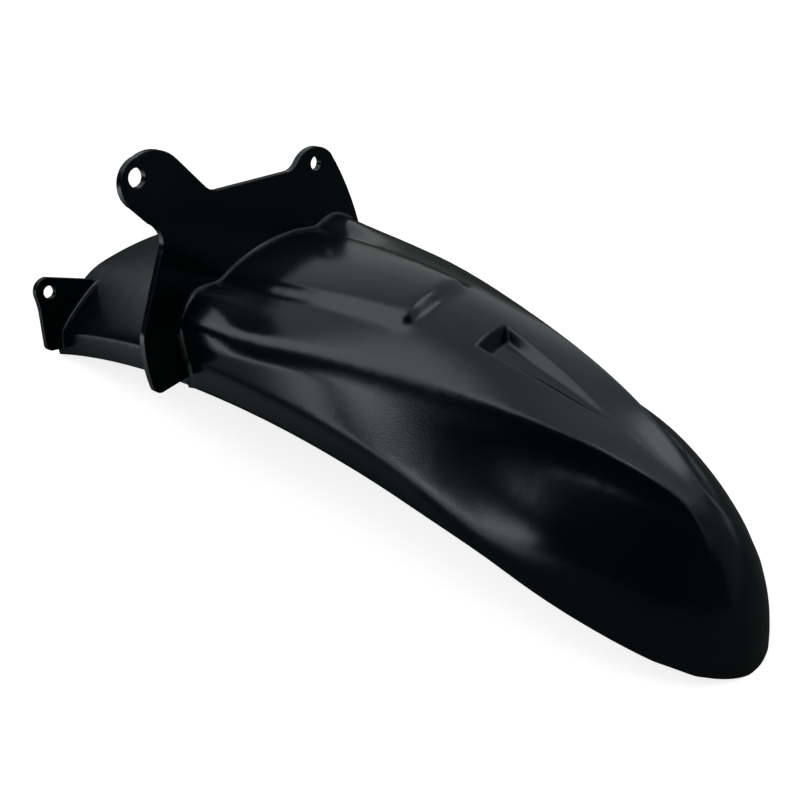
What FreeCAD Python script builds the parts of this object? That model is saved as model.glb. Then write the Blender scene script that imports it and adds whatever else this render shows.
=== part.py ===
"""Rear mudguard of a motorcycle: one black plastic moulding.

X runs to the tail, Y to the right-hand side and Z up; the guard lies on the plane Z = 0.
It is drawn about the point where its bulkhead crosses the middle plane, and is set on its base at the end.
"""
import FreeCAD, Part
import math
import os

Vector = FreeCAD.Vector

# Rim: its side view is one arc, its plan tapers and then rounds off to the tail.
FRONT_LENGTH = 117.0
TAIL_LENGTH = 321.0
RIM_RISE = 48.0
FRONT_HALF_WIDTH = 78.0
TAIL_HALF_WIDTH = 56.0
WALL = 3.0

# Lip: a flared band along the rim that dies out towards the tail.
LIP_HEIGHT_AT_PLATE = 18.0
LIP_HEIGHT = 11.0
LIP_FLARE = 2.4
LIP_ROOT_STEP = 1.4
LIP_END_SPREAD = 2.0
LIP_FADE_X = 140.0
LIP_END_X = 250.0

# Body arch behind the bulkhead: the crest rises to a summit and rounds down to the tail.
SUMMIT_X = 130.0
SUMMIT_HEIGHT = 98.0
PLATE_CREST = 79.0
TAIL_AXIS_X = 200.0
TAIL_AXIS_DROP = 20.0
TAIL_FULLNESS = 3.5
TAIL_OVERRUN = 3.5
TAIL_RIM_RUN = 25.0
TAIL_SECTIONS = 12
WALL_RUN_BELOW_RIM = 8.0

# Hood: the raised middle, nearly full width at the bulkhead and tapering to a rounded tip.
HOOD_HALF_WIDTH = 63.0
HOOD_SPREAD_AT_PLATE = 5.0
HOOD_TIP_X = 281.0
HOOD_TIP_RADIUS = 5.0
HOOD_HEIGHT_AT_PLATE = 6.0
HOOD_HEIGHT = 15.0
HOOD_FULL_X = 150.0
HOOD_FALL_X = 115.0
HOOD_LEVEL_X = 250.0
HOOD_WALL = 20.0
BEVEL_RUN = 6.0
BEVEL_DROP = 10.0
BEVEL_FADE_X = 160.0
HOOD_CHANNEL = 2.0

# Dome panel: the raised field on the hood, from the bulkhead to a sloped step.
PANEL_HALF_WIDTH = 36.0
PANEL_END_HALF_WIDTH = 22.0
PANEL_END_X = 123.0
PANEL_HEIGHT_AT_PLATE = 8.0
PANEL_HEIGHT = 5.5
PANEL_EDGE = 4.0
LOBE_HEIGHT = 9.4
LOBE_FOOT = 3.4
LOBE_RUN = 50.0

# Scoop: the triangular recess behind the panel, deepest at its front wall.
SCOOP_FRONT_X = 156.0
SCOOP_APEX_X = 227.0
SCOOP_HALF_WIDTH = 12.0
SCOOP_DEPTH = 7.0
SCOOP_FLOOR_X = 162.0
SCOOP_FLOOR_END_X = 196.0
SCOOP_FLOOR_HALF_WIDTH = 7.5
SCOOP_END_DEPTH = 3.5
SCOOP_TIP = 0.6

# Front arch before the bulkhead: low and wide, with straight sloping sides.
FRONT_CREST = 40.0
FRONT_LEAN = 36.0

# Bulkhead: the leaning cross plate with a tall lug and a small lug; heights are over the base.
PLATE_THICKNESS = 4.0
PLATE_LEAN = 12.0
PLATE_FILLET = 2.5
PLATE_FOOT = 39.0
WING_OVERHANG = 15.5
WING_HEIGHT = 38.5
WING_CORNER = 4.5
WAIST_Y = -62.0
WAIST_BELOW_LUG = 33.5
FAR_INSET = 4.0
TALL_LUG_Y = -66.0
TALL_LUG_HEIGHT = 156.4
TALL_LUG_RADIUS = 9.5
TALL_LUG_HOLE = 10.0
SMALL_LUG_Y = 48.0
SMALL_LUG_HEIGHT = 121.2
SMALL_LUG_RADIUS = 9.5
SMALL_LUG_HOLE = 8.0

# Ear: the small plate on the front end.
EAR_THICKNESS = 4.0
EAR_X = -114.0
EAR_LEAN = 16.0
EAR_Y = -70.0
EAR_HEIGHT = 39.9
EAR_FOOT = 3.0
EAR_LENGTH = 34.0
EAR_RADIUS = 9.5
EAR_HOLE = 8.0

# Trimming: the walls are drawn this far past the rim before they are cut, by blocks this large.
SKIRT = 14.0
STATION_GAP = 13.0
PATCH_SPANS = 4
PLATE_LEAN_RUN = 90.0
REACH = 400.0


def blend(value):
    """Smooth step from 0 to 1."""
    t = min(max(value, 0.0), 1.0)
    return t * t * (3.0 - 2.0 * t)


def mix(a, b, share):
    return a + (b - a) * share


RIM_CHORD = FRONT_LENGTH + TAIL_LENGTH
RIM_MID_X = (TAIL_LENGTH - FRONT_LENGTH) / 2.0
RIM_RADIUS = (RIM_CHORD ** 2 / 4.0 + RIM_RISE ** 2) / (2.0 * RIM_RISE)


def rim_height(x):
    """Height of the rim's arc."""
    run = min(abs(x - RIM_MID_X), 0.98 * RIM_RADIUS)
    return RIM_RISE - RIM_RADIUS + math.sqrt(RIM_RADIUS ** 2 - run ** 2)


def rim_half_width(x):
    """Half width over the rim, tapering from the front end to the tail."""
    return mix(FRONT_HALF_WIDTH, TAIL_HALF_WIDTH, (x + FRONT_LENGTH) / RIM_CHORD)


TAIL_RUN = TAIL_LENGTH + TAIL_OVERRUN - SUMMIT_X
SUMMIT_RADIUS = (SUMMIT_X ** 2 + (SUMMIT_HEIGHT - PLATE_CREST) ** 2) / (2.0 * (SUMMIT_HEIGHT - PLATE_CREST))


def arch_crest(x):
    """Height of the arch on the middle plane, without the hood."""
    if x <= SUMMIT_X:
        return SUMMIT_HEIGHT - SUMMIT_RADIUS + math.sqrt(SUMMIT_RADIUS ** 2 - (SUMMIT_X - x) ** 2)
    share = min((x - SUMMIT_X) / TAIL_RUN, 1.0)
    return (SUMMIT_HEIGHT + TAIL_AXIS_DROP) * math.sqrt(1.0 - share ** TAIL_FULLNESS) - TAIL_AXIS_DROP


def crest_along(angle):
    """Distance from the tail's axis to the arch's crest, at an angle from the vertical."""
    low, high = 1.0, 2.0 * TAIL_LENGTH
    for _ in range(60):
        middle = (low + high) / 2.0
        x = TAIL_AXIS_X + middle * math.sin(angle)
        z = middle * math.cos(angle) - TAIL_AXIS_DROP
        inside = x < SUMMIT_X + TAIL_RUN and z < arch_crest(x)
        low, high = (middle, high) if inside else (low, middle)
    return low


def lip_height(x):
    """Height of the lip, falling from the bulkhead to the tail's axis."""
    return mix(LIP_HEIGHT_AT_PLATE, LIP_HEIGHT, min(max(x / TAIL_AXIS_X, 0.0), 1.0))


def lip_share(x):
    """Strength of the lip, from whole along the body to nothing at the tail."""
    return 1.0 - blend((x - LIP_FADE_X) / (LIP_END_X - LIP_FADE_X))


def arch_half_width(x):
    """Half width of the arch at its foot, so that the lip's edge comes out at the rim's half width."""
    rise = (lip_height(x) + WALL_RUN_BELOW_RIM) / (arch_crest(x) - rim_height(x) + WALL_RUN_BELOW_RIM)
    return (rim_half_width(x) - LIP_FLARE) / math.sqrt(1.0 - rise ** 2)


PLATE_LEVEL = arch_crest(0.0) + HOOD_HEIGHT_AT_PLATE


def hood_half_width(x):
    """Half width over the hood's shoulders; past the tip, where the hood has died out, it opens again."""
    share = min(max(x / HOOD_TIP_X, 0.0), 1.0)
    opening = HOOD_TIP_RADIUS + 0.7 * max(x - HOOD_TIP_X, 0.0)
    spread = HOOD_SPREAD_AT_PLATE * (1.0 - blend(x / HOOD_FULL_X))
    return max(HOOD_HALF_WIDTH * (1.0 - share ** 1.2) ** (1.0 / 1.3) + spread, opening)


def hood_height(x):
    """Height of the hood's top over the arch: it rises behind the bulkhead and sinks before the tip."""
    rising = mix(HOOD_HEIGHT_AT_PLATE, HOOD_HEIGHT, blend(x / HOOD_FULL_X))
    return rising * (1.0 - blend((x - HOOD_FALL_X) / (HOOD_LEVEL_X - HOOD_FALL_X)))


def hood_wall(x):
    """Height of the hood's shoulder over the arch, falling from the bulkhead to the tip."""
    return HOOD_WALL * (1.0 - min(max(x / HOOD_TIP_X, 0.0), 1.0) ** 1.6)


def hood_channel(x):
    """Depth of the crease around the hood's tail below the arch."""
    deepening = blend((x - SUMMIT_X) / (HOOD_LEVEL_X - SUMMIT_X))
    return HOOD_CHANNEL * deepening * (1.0 - blend((x - HOOD_LEVEL_X) / (HOOD_TIP_X - HOOD_LEVEL_X)))


def panel_half_width(x):
    return mix(PANEL_HALF_WIDTH, PANEL_END_HALF_WIDTH, min(max(x / PANEL_END_X, 0.0), 1.0))


def panel_height(x):
    if x > PANEL_END_X:
        return 0.0
    return mix(PANEL_HEIGHT_AT_PLATE, PANEL_HEIGHT, blend(x / PANEL_END_X))


def arch_point(half_width, foot, crest, y):
    """Height of the elliptical arch at a distance from the middle plane."""
    return foot + (crest - foot) * math.sqrt(max(1.0 - (y / half_width) ** 2, 0.0))


def half_section(x, foot, crest, rim, width, lip, end, depth):
    """Half outline of the rear shell in a section plane, crest to rim, at a depth under its skin."""
    hood = hood_half_width(x) - 0.8 * depth
    height = hood_height(x)
    width = width - depth
    crest = crest - depth
    crown = crest + height - arch_point(width, foot, crest, hood) - hood_wall(x)
    even = blend((x - PANEL_END_X) / (HOOD_TIP_X - PANEL_END_X))
    panel = mix(min(panel_half_width(x), 0.6 * hood), 0.5 * hood, even)
    raised = panel_height(x)
    fading = 1.0 - blend(x / LOBE_RUN)

    def top(y):
        return crest + height - crown * (y / hood) ** 2

    edge = mix(min(PANEL_EDGE / 2.0, 0.075 * panel), 0.125 * panel, even)
    lobe = LOBE_HEIGHT * fading
    dip = LOBE_FOOT * fading
    points = [(0.0, top(0.0) + raised)]
    points.append((0.5 * panel, top(0.5 * panel) + mix(0.95, 0.88, fading) * raised))
    points.append((panel - 3.0 * edge, top(panel - 3.0 * edge) + mix(0.86, 0.63, fading) * raised))
    points.append((panel - edge, top(panel - edge) + mix(0.75, 0.5, fading) * raised))
    points.append((panel + edge, top(panel + edge) + dip))
    points.append((panel + 3.0 * edge, top(panel + 3.0 * edge) + mix(dip, lobe, 0.3)))
    points.append((mix(panel, hood, 0.55), top(mix(panel, hood, 0.55)) + lobe))
    points.append((mix(panel, hood, 0.85), top(mix(panel, hood, 0.85)) + lobe * 0.45))
    points.append((hood + 0.5, top(hood)))
    root_height = rim + lip_height(x) * lip
    root = width * math.sqrt(1.0 - ((root_height - foot) / (crest - foot)) ** 2)
    bevel = 1.0 - blend((x - BEVEL_FADE_X) / (HOOD_LEVEL_X - BEVEL_FADE_X))
    crease = min(hood + BEVEL_RUN + 0.15 * max(x - HOOD_TIP_X, 0.0), root - 0.3 * LIP_ROOT_STEP)
    low_crease = arch_point(width, foot, crest, crease) - hood_channel(x)
    crease_height = mix(low_crease, top(hood) - BEVEL_DROP, bevel)
    points.append((crease, crease_height))
    first = math.asin(crease / width)
    last = math.asin(root / width)
    for share in (0.1, 0.3, 0.55, 0.78, 0.93):
        angle = mix(first, last, share)
        round_y, round_z = width * math.sin(angle), foot + (crest - foot) * math.cos(angle)
        flat_y, flat_z = mix(crease, root, share), mix(crease_height, root_height, share)
        points.append((mix(round_y, flat_y, bevel), mix(round_z, flat_z, bevel)))
    points.append((root - LIP_ROOT_STEP * lip, mix(foot, root_height, 0.2 + 0.8 * lip)))
    points.append((mix(width, root + LIP_FLARE, lip), mix(mix(foot, end, 0.5), rim, lip)))
    points.append((mix(width, root + LIP_FLARE + LIP_END_SPREAD, lip), end))
    return points


def graded(start, stop):
    """Places from a start towards a stop, close together at first and then wider apart."""
    way = 1.0 if stop > start else -1.0
    places = []
    gap = PANEL_EDGE
    here = start + way * gap / 2.0
    while way * (stop - here) > gap / 2.0:
        places.append(here)
        gap = min(1.25 * gap, STATION_GAP)
        here += way * gap
    return places


def upright_section(x, depth):
    """Half outline of the rear shell in an upright plane."""
    rim = rim_height(x)
    foot = rim - WALL_RUN_BELOW_RIM
    return half_section(x, foot, arch_crest(x), rim, arch_half_width(x), lip_share(x), rim - SKIRT, depth)


def plate_offset(x, z):
    """How far a point of a section moves along X so that the sections near the bulkhead lean as it does."""
    return (PLATE_LEVEL - z) * math.tan(math.radians(PLATE_LEAN)) * (1.0 - blend(x / PLATE_LEAN_RUN))


def rear_stations(depth):
    """Sections of the rear shell: leaning at the bulkhead, then upright, then fanned at the tail."""
    stations = []
    face = PLATE_THICKNESS / 2.0 / math.cos(math.radians(PLATE_LEAN))
    halfway = (face + PANEL_END_X) / 2.0
    cove = [(-PLATE_THICKNESS, 1.6), (0.0, 0.75), (0.35 * PLATE_FILLET, 0.25), (0.8 * PLATE_FILLET, 0.03)]
    rows = [(face + run, PLATE_FILLET * share) for run, share in cove]
    places = graded(face + PLATE_FILLET, halfway) + graded(PANEL_END_X, halfway)[::-1]
    places += graded(PANEL_END_X, TAIL_AXIS_X) + [TAIL_AXIS_X]
    for x, flare in rows + [(x, 0.0) for x in places]:
        plain = upright_section(x, depth)
        grown = upright_section(x, depth - flare) if depth == 0.0 else plain
        section = []
        for (y, z), (far_y, far_z) in zip(plain, grown):
            share = blend((z - PLATE_LEVEL + PLATE_FOOT) / LIP_HEIGHT)
            section.append((mix(y, far_y, share), mix(z, far_z, share)))
        stations.append([Vector(x + plate_offset(x, z), y, z) for y, z in section])
    start_width = arch_half_width(TAIL_AXIS_X)
    foot_start = rim_height(TAIL_AXIS_X) - WALL_RUN_BELOW_RIM + TAIL_AXIS_DROP
    for i in range(1, TAIL_SECTIONS + 1):
        share = i / TAIL_SECTIONS
        angle = math.pi / 2.0 * share
        crest = crest_along(angle)
        x = TAIL_AXIS_X + crest * math.sin(angle)
        width = mix(start_width, TAIL_HALF_WIDTH + LIP_FLARE, share)
        foot = mix(foot_start, SKIRT, share)
        end = mix(foot_start + WALL_RUN_BELOW_RIM - SKIRT, SKIRT / 2.0, share)
        lip = lip_share(TAIL_AXIS_X + foot * math.sin(angle))
        rim = mix(foot + WALL_RUN_BELOW_RIM, foot + TAIL_RIM_RUN, share)
        fanned = []
        for y, along in half_section(x, foot, crest, rim, width, lip, end, depth):
            reach, rise = along * math.sin(angle), along * math.cos(angle)
            fanned.append(Vector(TAIL_AXIS_X + reach, y, rise - TAIL_AXIS_DROP))
        stations.append(fanned)
    return stations


def front_stations(depth):
    """Section planes of the front arch, all upright, at a depth under its skin."""
    stations = []
    for share in (-0.25, 0.0, 0.25, 0.5, 0.75, 1.0, 1.3):
        x = FRONT_LENGTH * (share - 1.0)
        rim = rim_height(x)
        crest = mix(FRONT_CREST, PLATE_CREST, share) - depth
        width = rim_half_width(x) - LIP_FLARE - depth
        root_height = rim + LIP_HEIGHT
        slope_top = mix(0.72, 0.86, share)
        points = [(0.0, crest)]
        for part in (0.2, 0.4):
            points.append((part * width, crest - (crest - root_height) * 0.35 * part ** 2))
        points.append((0.62 * width, mix(root_height, crest, slope_top)))
        points.append((0.84 * width, mix(root_height, crest, 0.55 * slope_top)))
        points.append((0.97 * width, mix(root_height, crest, 0.2 * slope_top)))
        points.append((width - LIP_ROOT_STEP, root_height))
        points.append((width + LIP_FLARE, rim))
        points.append((width + LIP_FLARE + LIP_END_SPREAD, rim - SKIRT))
        stations.append([Vector(x, y, z) for y, z in points])
    return stations


def whole(stations):
    """Net of whole sections, left to right, from right-hand halves."""
    return [[Vector(p.x, -p.y, p.z) for p in reversed(half[1:])] + half for half in stations]


def knots_at(places):
    """Knots and multiplicities of a clamped cubic whose control points stand at the given places."""
    inner = [sum(places[k:k + 3]) / 3.0 for k in range(1, len(places) - 3)]
    return [4] + [1] * len(inner) + [4], [places[0]] + inner + [places[-1]]


def sheet(net):
    """Cubic surface over a net of control points."""
    middle = len(net[0]) // 2
    along = [0.0]
    for before, after in zip(net, net[1:]):
        along.append(along[-1] + after[middle].sub(before[middle]).Length)
    across = [10.0 * k for k in range(len(net[0]))]
    u_mults, u_knots = knots_at(along)
    v_mults, v_knots = knots_at(across)
    surface = Part.BSplineSurface()
    surface.buildFromPolesMultsKnots(net, u_mults, v_mults, u_knots, v_knots, False, False, 3, 3)
    return surface


def patches(surface):
    """Faces of a sheet: left and right halves, each in short lengths."""
    u = surface.getUKnots()
    v = surface.getVKnots()
    u_cuts = u[0:-1:int(PATCH_SPANS)] + [u[-1]]
    v_cuts = [v[0], (v[0] + v[-1]) / 2.0, v[-1]]
    return [
        surface.toShape(u0, u1, v0, v1)
        for u0, u1 in zip(u_cuts, u_cuts[1:])
        for v0, v1 in zip(v_cuts, v_cuts[1:])
    ]


def between(outer_net, inner_net):
    """Solid between two sheets with matching nets."""
    outer = patches(sheet(outer_net))
    inner = patches(sheet(inner_net))
    skin = Part.Compound(outer)
    skin.sewShape()
    uses = [edge.hashCode() for face in skin.Faces for edge in face.Edges]
    faces = outer + inner
    for over, under in zip(skin.Faces, inner):
        for outer_edge, inner_edge in zip(over.Edges, under.Edges):
            if uses.count(outer_edge.hashCode()) == 1:
                faces.append(Part.makeRuledSurface(outer_edge, inner_edge))
    shell = Part.Compound(faces)
    shell.sewShape()
    solid = Part.makeSolid(shell.Shells[0])
    if solid.Volume < 0:
        solid.reverse()
    return solid


def leaning(shape, x, lean):
    """Turns a shape drawn on the plane X = 0 to lean forward, and moves it along X."""
    turned = shape.copy()
    turned.rotate(Vector(0, 0, 0), Vector(0, 1, 0), -lean)
    turned.translate(Vector(x, 0, 0))
    return turned


def half_space(x, z, lean, behind):
    """Large block on one side of a leaning cross plane."""
    corner = Vector(0.0 if behind else -REACH, -REACH, -2.0 * REACH)
    block = Part.makeBox(REACH, 2.0 * REACH, 4.0 * REACH, corner)
    turned = leaning(block, 0.0, lean)
    turned.translate(Vector(x, 0, z))
    return turned


def under_rim():
    """Block below the rim's arc."""
    run = 0.8 * RIM_RADIUS
    end = rim_height(RIM_MID_X + run)
    left = Vector(RIM_MID_X - run, -REACH, end)
    right = Vector(RIM_MID_X + run, -REACH, end)
    arc = Part.Arc(left, Vector(RIM_MID_X, -REACH, RIM_RISE), right).toShape()
    chord = Part.LineSegment(right, left).toShape()
    return Part.Face(Part.Wire([arc, chord])).extrude(Vector(0, 2.0 * REACH, 0))


def filled(net):
    """Solid under a sheet, down to a level plane below the guard."""
    floor = [[Vector(p.x, p.y, -REACH / 4.0) for p in row] for row in net]
    return between(net, floor)


def outline(start, *legs):
    """Closed wire on the plane X = 0; a leg is an end point, or an arc's middle and end points."""
    edges = []
    here = Vector(0, start[0], start[1])
    for leg in legs:
        points = [Vector(0, y, z) for y, z in leg]
        if len(points) == 1:
            edges.append(Part.LineSegment(here, points[0]).toShape())
        else:
            edges.append(Part.Arc(here, points[0], points[1]).toShape())
        here = points[-1]
    return Part.Wire(edges)


def slab(wire, thickness):
    """Plate of a thickness about the plane of an outline."""
    solid = Part.Face(wire).extrude(Vector(thickness, 0, 0))
    solid.translate(Vector(-thickness / 2.0, 0, 0))
    return solid


def up_the_plate(height):
    """Distance along the leaning bulkhead from its level to a height over the base."""
    return (height - PLATE_LEVEL) / math.cos(math.radians(PLATE_LEAN))


def bore(y, up, diameter, thickness):
    """Through hole square to the plane X = 0."""
    length = 4.0 * thickness
    return Part.makeCylinder(diameter / 2.0, length, Vector(-length / 2.0, y, up), Vector(1, 0, 0))


def bulkhead():
    """Cross plate with its two lugs and their holes, drawn upright about the level of the rear arch."""
    ty, tu = TALL_LUG_Y, up_the_plate(TALL_LUG_HEIGHT)
    sy, su = SMALL_LUG_Y, up_the_plate(SMALL_LUG_HEIGHT)
    tall, small, corner = TALL_LUG_RADIUS, SMALL_LUG_RADIUS, WING_CORNER
    wing, far, foot = -FRONT_HALF_WIDTH - WING_OVERHANG, FRONT_HALF_WIDTH - FAR_INSET, -PLATE_FOOT
    top, waist = foot + WING_HEIGHT, tu - WAIST_BELOW_LUG
    plate = slab(outline(
        (wing + corner, foot),
        [(wing + 0.3 * corner, foot + 0.3 * corner), (wing, foot + corner)],
        [(wing + 0.5, (foot + top) / 2.0), (wing + 2.5, top - 8.5)],
        [(wing + 4.0, top - 4.0), (wing + 6.5, top)],
        [(WAIST_Y - 3.5, waist - 8.0)],
        [(WAIST_Y, waist), (WAIST_Y - 4.0, waist + 8.5)],
        [(ty - 7.0, tu - 14.0)],
        [(ty - tall + 0.5, tu + 2.0), (ty + 3.0, tu + tall)],
        [(ty + 16.0, tu + tall - 1.0), (ty + 25.0, tu + 0.5)],
        [(ty + 36.5, tu - 18.0)],
        [(ty + 40.5, tu - 22.5), (ty + 46.0, tu - 24.5)],
        [(sy - 21.0, su + 3.0)],
        [(sy - 16.5, su + 3.5), (sy - 12.5, su + 6.0)],
        [(sy, su + small), (sy + 12.5, su + 1.5)],
        [(far - 6.0, su - 23.0), (far - 2.5, su - 46.5)],
        [(far, foot)],
        [(wing + corner, foot)],
    ), PLATE_THICKNESS)
    plate = plate.cut(bore(ty, tu, TALL_LUG_HOLE, PLATE_THICKNESS))
    return plate.cut(bore(sy, su, SMALL_LUG_HOLE, PLATE_THICKNESS))


def ear():
    """Small plate with one hole, drawn upright from the level of the base."""
    y, up, round_end = EAR_Y, EAR_HEIGHT / math.cos(math.radians(EAR_LEAN)), EAR_RADIUS
    plate = slab(outline(
        (y + 2.0, EAR_FOOT),
        [(y - 12.0, EAR_FOOT + 4.0)],
        [(y - 14.5, EAR_FOOT + 5.5), (y - 15.0, EAR_FOOT + 9.0)],
        [(y - round_end - 0.5, up - 9.0)],
        [(y - round_end + 0.2, up - 4.0), (y - round_end + 0.5, up + 1.0)],
        [(y - 6.0, up + 7.0), (y + 2.0, up + round_end - 0.5)],
        [(y + EAR_LENGTH, up - 7.5)],
        [(y + EAR_LENGTH, up - 21.5)],
        [(y + 2.0, EAR_FOOT)],
    ), EAR_THICKNESS)
    return plate.cut(bore(y, up, EAR_HOLE, EAR_THICKNESS))


def scoop(grow):
    """Tapering recess: a sunk floor that narrows to the rear, and walls that open out to the hood's top."""

    def corner(x, half_width, sunk):
        height = arch_crest(x) + hood_height(x)
        return [Vector(x, side * half_width, height - sunk) for side in (-1.0, 1.0)]

    tip = SCOOP_TIP + 0.6 * grow
    floor = corner(SCOOP_FLOOR_X - grow, SCOOP_FLOOR_HALF_WIDTH + grow, SCOOP_DEPTH + grow)
    floor += corner(SCOOP_FLOOR_END_X + 2.0 * grow, tip, SCOOP_END_DEPTH + grow)[::-1]
    mouth = corner(SCOOP_FRONT_X - grow, SCOOP_HALF_WIDTH + grow, 0.0)
    mouth += corner(SCOOP_APEX_X + 2.0 * grow, tip, 0.0)[::-1]
    above = [low.add(high.sub(low).multiply(2.2)) for low, high in zip(floor, mouth)]
    return Part.makeLoft([Part.makePolygon(ring + ring[:1]) for ring in (floor, above)], True, True)


def meeting_edges(solid, skin, point, normal):
    """Edges of a solid where a plane meets the outer side of a skin."""
    found = []
    for edge in solid.Edges:
        first, last = edge.ParameterRange
        places = [edge.valueAt(mix(first, last, share)) for share in (0.1, 0.5, 0.9)]
        flat = all(abs(place.sub(point).dot(normal)) < 0.02 for place in places)
        if flat and all(skin.distToShape(Part.Vertex(place))[0] < 0.05 for place in places):
            found.append(edge)
    return found


def rear_shell():
    """Hooded shell behind the bulkhead, trimmed to the rim, with its scoop."""
    skin = whole(rear_stations(0.0))
    shell = between(skin, whole(rear_stations(WALL)))
    shell = shell.cut(under_rim()).cut(half_space(0.0, PLATE_LEVEL, PLATE_LEAN, False))
    thick = between(skin, whole(rear_stations(WALL + SCOOP_DEPTH + WALL)))
    return shell.fuse(scoop(WALL).common(thick)).cut(scoop(0.0))


def front_shell():
    """Front arch, trimmed to the rim, the bulkhead and its own leaning end."""
    shell = between(whole(front_stations(0.0)), whole(front_stations(WALL)))
    shell = shell.cut(half_space(0.0, PLATE_LEVEL, PLATE_LEAN, True))
    return shell.cut(half_space(-FRONT_LENGTH, 0.0, FRONT_LEAN, False)).cut(under_rim())


def facing(lean):
    """Direction square to a leaning plate, towards the tail."""
    angle = math.radians(lean)
    return Vector(math.cos(angle), 0, math.sin(angle))


def on_base(shape):
    """Sets a shape on Z = 0 with the middle of its outer box over the origin."""
    points, _ = shape.tessellate(0.1)
    low = [min(point[k] for point in points) for k in range(3)]
    high = [max(point[k] for point in points) for k in range(3)]
    moved = shape.copy()
    moved.translate(Vector(-(low[0] + high[0]) / 2.0, -(low[1] + high[1]) / 2.0, -low[2]))
    return moved


def main():
    os.makedirs("parts", exist_ok=True)
    channel = filled(whole(front_stations(WALL / 2.0)))
    plate = leaning(bulkhead(), 0.0, PLATE_LEAN)
    plate.translate(Vector(0, 0, PLATE_LEVEL))
    lug = leaning(ear(), EAR_X, EAR_LEAN)
    guard = rear_shell().fuse([front_shell(), plate.cut(channel), lug.cut(channel)])

    front_skin = Part.Compound(patches(sheet(whole(front_stations(0.0)))))
    plate_front = Vector(0, 0, PLATE_LEVEL).sub(facing(PLATE_LEAN).multiply(PLATE_THICKNESS / 2.0))
    ear_back = Vector(EAR_X, 0, 0).add(facing(EAR_LEAN).multiply(EAR_THICKNESS / 2.0))
    edges = meeting_edges(guard, front_skin, plate_front, facing(PLATE_LEAN))
    edges += meeting_edges(guard, front_skin, ear_back, facing(EAR_LEAN))
    guard = guard.makeFillet(PLATE_FILLET, edges)
    on_base(guard).exportStep("parts/mudguard.step")


main()
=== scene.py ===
"""Looks and stage for a motorcycle rear mudguard: one black moulding of satin, finely grained plastic."""
import math
from collections import namedtuple

import bpy
from mathutils import Matrix, Vector

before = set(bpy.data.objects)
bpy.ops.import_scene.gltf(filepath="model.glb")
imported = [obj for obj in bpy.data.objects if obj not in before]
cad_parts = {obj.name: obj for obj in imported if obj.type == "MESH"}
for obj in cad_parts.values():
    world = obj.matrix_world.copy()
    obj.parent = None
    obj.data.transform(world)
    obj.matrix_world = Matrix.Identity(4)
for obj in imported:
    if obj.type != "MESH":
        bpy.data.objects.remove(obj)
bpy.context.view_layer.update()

bl_info = {
    "name": "Rear mudguard looks",
    "version": (1, 0, 0),
    "blender": (4, 5, 0),
    "location": "3D View > Sidebar > Mudguard",
    "description": "Satin black plastic for the mudguard, and a white studio to see it in",
    "category": "Object",
}

NODE = "mudguard"

PLASTIC_IOR = 1.5
ROUGHNESS_SPREAD = 0.04
FLOW_START = 0.4
FLOW_FULL = 0.75
FLOW_DETAIL = 4.0
GRAIN_DETAIL = 2.0
EDGE_SAMPLES = 6
FLOOR_ROUGHNESS = 0.9
SENSOR_WIDTH = 36.0

# A soft round patch of the studio's sky: the turn and height of its middle and its outer and inner
# radius in degrees, the levels outside and inside it, and how it joins the patches before it.
Patch = namedtuple("Patch", "turn height outer inner outside inside way", defaults=("ADD",))

ROOM_AND_LARGE_LAMP = Patch(-118.0, 50.0, 48.0, 20.0, 0.72, 2.4)
FAR_RIGHT_LAMP = Patch(62.0, 58.0, 16.0, 7.0, 0.0, 2.4)
DARK_CAMERA_SIDE = Patch(-42.0, 20.0, 61.0, 50.0, 1.0, 0.015, "MULTIPLY")
DARK_RIGHT_CORNER = Patch(35.0, 8.0, 31.0, 18.0, 1.0, 0.2, "MULTIPLY")
DARK_LOW_SKY = Patch(65.0, 72.5, 88.5, 80.0, 0.015, 1.0, "MULTIPLY")
LOW_LEFT_LAMP = Patch(-102.0, 3.0, 8.5, 4.0, 0.0, 3.8)
SKY = (
    ROOM_AND_LARGE_LAMP, FAR_RIGHT_LAMP, DARK_CAMERA_SIDE, DARK_RIGHT_CORNER, DARK_LOW_SKY, LOW_LEFT_LAMP,
)


class PlasticLook(bpy.types.PropertyGroup):
    """Colour and finish of the black plastic."""

    colour: bpy.props.FloatVectorProperty(
        name="Colour", description="Base colour of the plastic",
        size=3, default=(0.0012, 0.0028, 0.0039), subtype="COLOR",
    )
    flow_colour: bpy.props.FloatVectorProperty(
        name="Flow colour", description="Colour of the paler flow shades in the plastic",
        size=3, default=(0.0040, 0.0058, 0.0070), subtype="COLOR",
    )
    flow_size: bpy.props.FloatProperty(
        name="Flow size", description="Width of the flow shades", default=0.07, unit="LENGTH",
    )
    # Painted reflection tint: a bluish colour put into every reflection on the plastic, standing in for the
    # bluish lamps.
    painted_reflection_tint: bpy.props.FloatVectorProperty(
        name="Sheen", description="Tint of the light on the skin",
        size=3, default=(0.79, 0.94, 1.0), subtype="COLOR",
    )
    roughness: bpy.props.FloatProperty(
        name="Roughness", description="Roughness of the satin skin",
        default=0.18, min=0.0, max=1.0, subtype="FACTOR",
    )
    grain_size: bpy.props.FloatProperty(
        name="Grain size", description="Width of one grain of the skin", default=0.0009, unit="LENGTH",
    )
    grain_depth: bpy.props.FloatProperty(
        name="Grain depth", description="Height of the grain", default=0.00003, precision=6, unit="LENGTH",
    )
    edge_radius: bpy.props.FloatProperty(
        name="Edge radius", description="Rounding that the plates' edges show",
        default=0.0008, unit="LENGTH",
    )
    form_radius: bpy.props.FloatProperty(
        name="Form radius", description="Rounding that the edges of panel and scoop show",
        default=0.0026, unit="LENGTH",
    )
    form_start: bpy.props.FloatVectorProperty(
        name="Form start",
        description="Where along the part the rounding grows, from the cross plate to the panel",
        size=2, default=(-0.084, -0.066), subtype="XYZ_LENGTH",
    )
    smooth_angle: bpy.props.FloatProperty(
        name="Smooth angle", description="Faces that meet at less than this shade as one",
        default=math.radians(32.0), subtype="ANGLE",
    )


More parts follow.
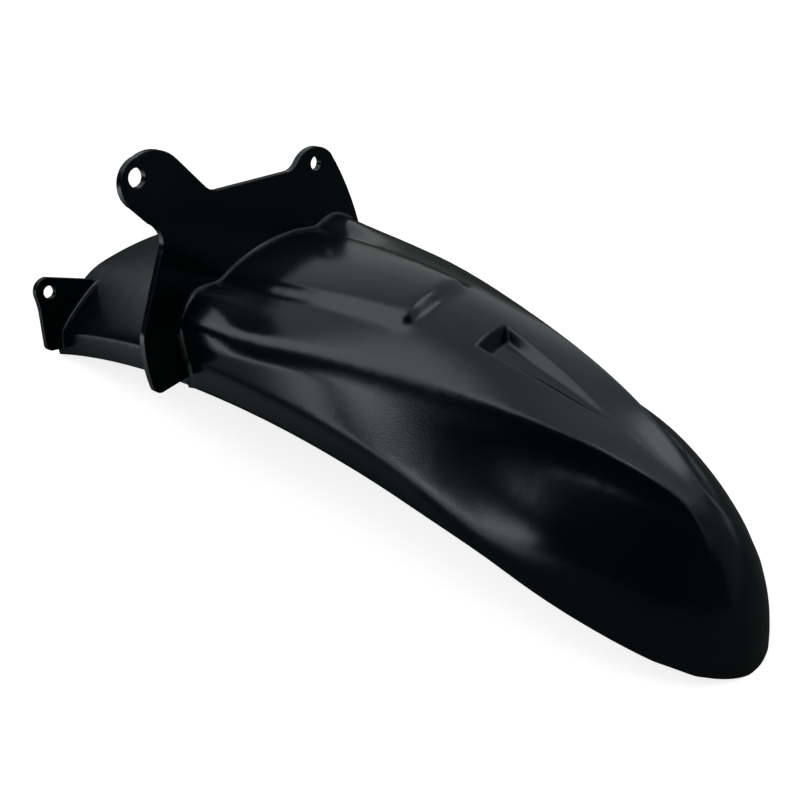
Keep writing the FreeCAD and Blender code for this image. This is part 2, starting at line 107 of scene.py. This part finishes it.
class StageLook(bpy.types.PropertyGroup):
    """Floor, light and camera."""

    floor_colour: bpy.props.FloatVectorProperty(
        name="Floor colour", description="Colour of the floor",
        size=3, default=(0.45, 0.45, 0.45), subtype="COLOR",
    )
    floor_glow: bpy.props.FloatProperty(
        name="Floor glow", description="White added to the floor where the camera sees it", default=0.83,
    )
    floor_size: bpy.props.FloatProperty(
        name="Floor size", description="Side of the floor", default=6.0, unit="LENGTH",
    )
    # Painted shade: the floor the plastic mirrors is darkened to this colour, while the camera still sees
    # the pale floor.
    mirrored_floor: bpy.props.FloatVectorProperty(
        name="Mirrored floor", description="Colour of the floor as the plastic mirrors it",
        size=3, default=(0.07, 0.07, 0.07), subtype="COLOR",
    )
    # Painted pool of light: the floor glows here, but only in the plastic's reflections.
    pool_light: bpy.props.FloatProperty(
        name="Pool light", description="Strength of the floor's pool of light, as the plastic mirrors it",
        default=1.7,
    )
    pool_place: bpy.props.FloatVectorProperty(
        name="Pool place", description="Middle of the pool of light",
        size=3, default=(-0.32, -0.66, 0.0), subtype="TRANSLATION",
    )
    pool_reach: bpy.props.FloatVectorProperty(
        name="Pool reach", description="Where the pool of light ends, and where it is full",
        size=2, default=(0.62, 0.25), subtype="XYZ_LENGTH",
    )
    sky_light: bpy.props.FloatProperty(
        name="Sky light", description="Strength of the whole sky against its patches' levels", default=1.0,
    )
    azimuth: bpy.props.FloatProperty(
        name="Azimuth", description="Turn of the camera about the object",
        default=math.radians(41.2), subtype="ANGLE",
    )
    elevation: bpy.props.FloatProperty(
        name="Elevation", description="Height of the camera as an angle",
        default=math.radians(40.8), subtype="ANGLE",
    )
    lens: bpy.props.FloatProperty(
        name="Lens", description="Focal length of the camera, in millimetres", default=47.25, unit="CAMERA",
    )
    camera_place: bpy.props.FloatVectorProperty(
        name="Camera place", description="Where the camera stands",
        size=3, default=(0.295175, -0.318838, 0.410441), subtype="TRANSLATION",
    )


def new_node(tree, kind, **values):
    """A shader node with some of its properties set."""
    node = tree.nodes.new(kind)
    for name, value in values.items():
        setattr(node, name, value)
    return node


def maths(tree, operation, first, second):
    """Output of a maths node. Its second input is a number or another output."""
    node = new_node(tree, "ShaderNodeMath", operation=operation)
    tree.links.new(first, node.inputs[0])
    if isinstance(second, float):
        node.inputs[1].default_value = second
    else:
        tree.links.new(second, node.inputs[1])
    return node.outputs["Value"]


def ranged(tree, value, reach, levels, interpolation="LINEAR"):
    """Output that goes from one level to another as a value goes over its reach."""
    node = new_node(tree, "ShaderNodeMapRange", interpolation_type=interpolation)
    node.inputs["From Min"].default_value, node.inputs["From Max"].default_value = reach
    node.inputs["To Min"].default_value, node.inputs["To Max"].default_value = levels
    tree.links.new(value, node.inputs["Value"])
    return node.outputs["Result"]


def two_colours(tree, share, first, second):
    """Colour between two others."""
    node = new_node(tree, "ShaderNodeMix", data_type="RGBA")
    node.inputs["A"].default_value = (*first, 1.0)
    node.inputs["B"].default_value = (*second, 1.0)
    tree.links.new(share, node.inputs["Factor"])
    return node.outputs["Result"]


def noise(tree, place, size, detail):
    """Cloudy values whose spots are about one size wide."""
    node = new_node(tree, "ShaderNodeTexNoise")
    node.inputs["Scale"].default_value = 1.0 / size
    node.inputs["Detail"].default_value = detail
    tree.links.new(place, node.inputs["Vector"])
    return node.outputs["Fac"]


def plastic_material(look):
    """Black moulded plastic: a satin skin with a fine grain, faint flow shades and softened edges."""
    material = bpy.data.materials.new("black_plastic")
    material.use_nodes = True
    tree = material.node_tree
    shader = tree.nodes["Principled BSDF"]
    shader.inputs["IOR"].default_value = PLASTIC_IOR
    # The specular tint paints the lamps' bluish colour into the plastic's reflections.
    shader.inputs["Specular Tint"].default_value = (*look.painted_reflection_tint, 1.0)
    place = new_node(tree, "ShaderNodeTexCoord").outputs["Object"]

    flow = noise(tree, place, look.flow_size, FLOW_DETAIL)
    satin = (look.roughness - ROUGHNESS_SPREAD, look.roughness + ROUGHNESS_SPREAD)
    tree.links.new(ranged(tree, flow, (0.0, 1.0), satin), shader.inputs["Roughness"])
    pale = ranged(tree, flow, (FLOW_START, FLOW_FULL), (0.0, 1.0))
    tree.links.new(two_colours(tree, pale, look.colour, look.flow_colour), shader.inputs["Base Color"])

    along = new_node(tree, "ShaderNodeSeparateXYZ")
    tree.links.new(place, along.inputs["Vector"])
    edge = new_node(tree, "ShaderNodeBevel", samples=EDGE_SAMPLES)
    radius = ranged(tree, along.outputs["X"], look.form_start, (look.edge_radius, look.form_radius))
    tree.links.new(radius, edge.inputs["Radius"])
    grain = new_node(tree, "ShaderNodeBump")
    grain.inputs["Strength"].default_value = 1.0
    grain.inputs["Distance"].default_value = look.grain_depth
    tree.links.new(noise(tree, place, look.grain_size, GRAIN_DETAIL), grain.inputs["Height"])
    tree.links.new(edge.outputs["Normal"], grain.inputs["Normal"])
    tree.links.new(grain.outputs["Normal"], shader.inputs["Normal"])
    return material


def floor_material(look):
    """White floor that keeps the shadow. The plastic mirrors it as a darker floor with a painted pool of
    light, a glow that only reflections see.
    """
    material = bpy.data.materials.new("floor")
    material.use_nodes = True
    tree = material.node_tree
    shader = tree.nodes["Principled BSDF"]
    shader.inputs["Roughness"].default_value = FLOOR_ROUGHNESS
    shader.inputs["Specular IOR Level"].default_value = 0.0
    shader.inputs["Emission Color"].default_value = (1.0, 1.0, 1.0, 1.0)
    path = new_node(tree, "ShaderNodeLightPath")
    seen, mirrored = path.outputs["Is Camera Ray"], path.outputs["Is Glossy Ray"]
    # Glossy rays get the darker mirrored floor colour, which is painted shade in the plastic's reflections.
    colour = two_colours(tree, mirrored, look.floor_colour, look.mirrored_floor)
    tree.links.new(colour, shader.inputs["Base Color"])

    # The pool is painted light: floor glow that only glossy rays see, so it shows in the plastic's
    # reflections and lights nothing.
    spot = new_node(tree, "ShaderNodeNewGeometry")
    gap = new_node(tree, "ShaderNodeVectorMath", operation="DISTANCE")
    gap.inputs[1].default_value = look.pool_place
    tree.links.new(spot.outputs["Position"], gap.inputs[0])
    pool = ranged(tree, gap.outputs["Value"], look.pool_reach, (0.0, look.pool_light), "SMOOTHSTEP")
    white = maths(tree, "MULTIPLY", seen, look.floor_glow)
    glow = maths(tree, "ADD", white, maths(tree, "MULTIPLY", mirrored, pool))
    tree.links.new(glow, shader.inputs["Emission Strength"])
    return material


def sky_patch(tree, place, patch):
    """Level of one soft round patch of the sky."""
    turn, height, outer, inner = [math.radians(angle) for angle in patch[:4]]
    near = new_node(tree, "ShaderNodeVectorMath", operation="DOT_PRODUCT")
    near.inputs[1].default_value = (
        math.cos(height) * math.cos(turn), math.cos(height) * math.sin(turn), math.sin(height),
    )
    tree.links.new(place, near.inputs[0])
    reach = (math.cos(outer), math.cos(inner))
    return ranged(tree, near.outputs["Value"], reach, (patch.outside, patch.inside), "SMOOTHSTEP")


class MUDGUARD_OT_finish(bpy.types.Operator):
    """Gives the mudguard its satin black plastic"""

    bl_idname = "mudguard.finish"
    bl_label = "Finish the mudguard"

    def execute(self, context):
        look = context.scene.mudguard_plastic
        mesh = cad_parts[NODE].data
        mesh.materials.clear()
        mesh.materials.append(plastic_material(look))
        mesh.shade_smooth()
        mesh.set_sharp_from_angle(angle=look.smooth_angle)
        return {"FINISHED"}


class MUDGUARD_OT_stage(bpy.types.Operator):
    """Builds the white floor, the studio's light and the camera"""

    bl_idname = "mudguard.stage"
    bl_label = "Build the studio"

    def execute(self, context):
        look = context.scene.mudguard_stage
        self.floor(context.scene, look)
        self.sky(context.scene, look)
        self.camera(context.scene, look)
        return {"FINISHED"}

    def floor(self, scene, look):
        half = look.floor_size / 2.0
        corners = [(-half, -half, 0.0), (half, -half, 0.0), (half, half, 0.0), (-half, half, 0.0)]
        mesh = bpy.data.meshes.new("floor")
        mesh.from_pydata(corners, [], [(0, 1, 2, 3)])
        mesh.materials.append(floor_material(look))
        floor = bpy.data.objects.new("floor", mesh)
        scene.collection.objects.link(floor)

    def sky(self, scene, look):
        world = bpy.data.worlds.new("studio")
        scene.world = world
        world.use_nodes = True
        tree = world.node_tree
        tree.nodes.clear()
        place = new_node(tree, "ShaderNodeTexCoord").outputs["Generated"]
        total = sky_patch(tree, place, SKY[0])
        for patch in SKY[1:]:
            total = maths(tree, patch.way, total, sky_patch(tree, place, patch))
        path = new_node(tree, "ShaderNodeLightPath")
        level = new_node(tree, "ShaderNodeMix", data_type="FLOAT")
        level.inputs["B"].default_value = 1.0
        tree.links.new(path.outputs["Is Camera Ray"], level.inputs["Factor"])
        tree.links.new(maths(tree, "MULTIPLY", total, look.sky_light), level.inputs["A"])
        light = new_node(tree, "ShaderNodeBackground")
        tree.links.new(level.outputs["Result"], light.inputs["Strength"])
        out = new_node(tree, "ShaderNodeOutputWorld")
        tree.links.new(light.outputs["Background"], out.inputs["Surface"])

    def camera(self, scene, look):
        data = bpy.data.cameras.new("camera")
        data.lens = look.lens
        data.sensor_width = SENSOR_WIDTH
        camera = bpy.data.objects.new("camera", data)
        around = Matrix.Rotation(look.azimuth, 4, "Z")
        down = Matrix.Rotation(math.pi / 2.0 - look.elevation, 4, "X")
        camera.matrix_world = Matrix.Translation(Vector(look.camera_place)) @ around @ down
        scene.collection.objects.link(camera)
        scene.camera = camera
        scene.view_settings.view_transform = "Standard"


class MUDGUARD_PT_panel(bpy.types.Panel):
    """Lists the mudguard's settings and steps"""

    bl_idname = "MUDGUARD_PT_panel"
    bl_label = "Mudguard"
    bl_space_type = "VIEW_3D"
    bl_region_type = "UI"
    bl_category = "Mudguard"

    def draw(self, context):
        for look, step in (
            (context.scene.mudguard_plastic, MUDGUARD_OT_finish),
            (context.scene.mudguard_stage, MUDGUARD_OT_stage),
        ):
            for name in look.__annotations__:
                self.layout.prop(look, name)
            self.layout.operator(step.bl_idname)


CLASSES = (PlasticLook, StageLook, MUDGUARD_OT_finish, MUDGUARD_OT_stage, MUDGUARD_PT_panel)


def register():
    for cls in CLASSES:
        bpy.utils.register_class(cls)
    bpy.types.Scene.mudguard_plastic = bpy.props.PointerProperty(type=PlasticLook)
    bpy.types.Scene.mudguard_stage = bpy.props.PointerProperty(type=StageLook)


def unregister():
    del bpy.types.Scene.mudguard_stage
    del bpy.types.Scene.mudguard_plastic
    for cls in reversed(CLASSES):
        bpy.utils.unregister_class(cls)


def main():
    register()
    bpy.ops.mudguard.finish()
    bpy.ops.mudguard.stage()


if __name__ == "__main__":
    main()
